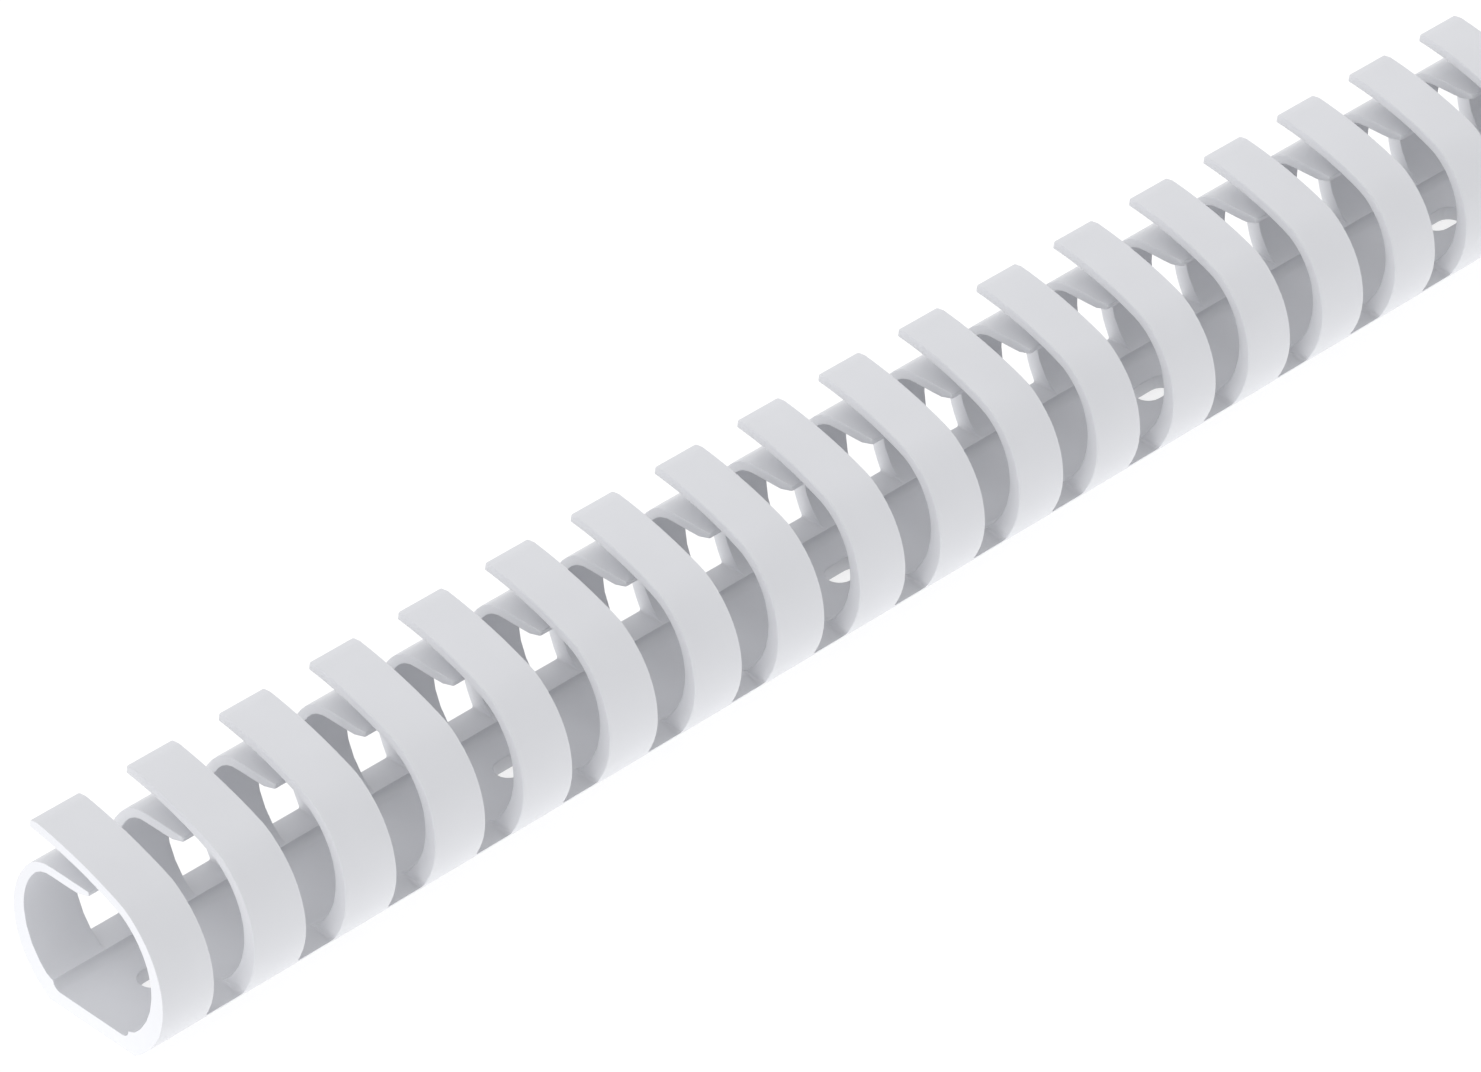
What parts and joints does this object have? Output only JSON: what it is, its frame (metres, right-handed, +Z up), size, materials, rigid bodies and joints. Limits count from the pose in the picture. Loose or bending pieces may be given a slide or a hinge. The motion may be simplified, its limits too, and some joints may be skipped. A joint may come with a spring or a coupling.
{
  "type": "flexible slotted wiring duct",
  "caption": "Straight length of round slotted wiring duct on a flat base, with combs of curved fingers that overlap at the top so leads press in from the side.",
  "frame": {"origin": "middle of the flat underside", "axes": "+X along the duct, +Z up from the panel it is screwed to; the long fingers stand on the -Y side and arch over towards +Y"},
  "size_m": [0.5, 0.0228, 0.0225],
  "materials": {
    "slotted_duct": "satin moulded polypropylene, pale grey"
  },
  "bodies": {
    "root": {"slotted_duct": "slotted_duct"}
  },
  "joints": []
}
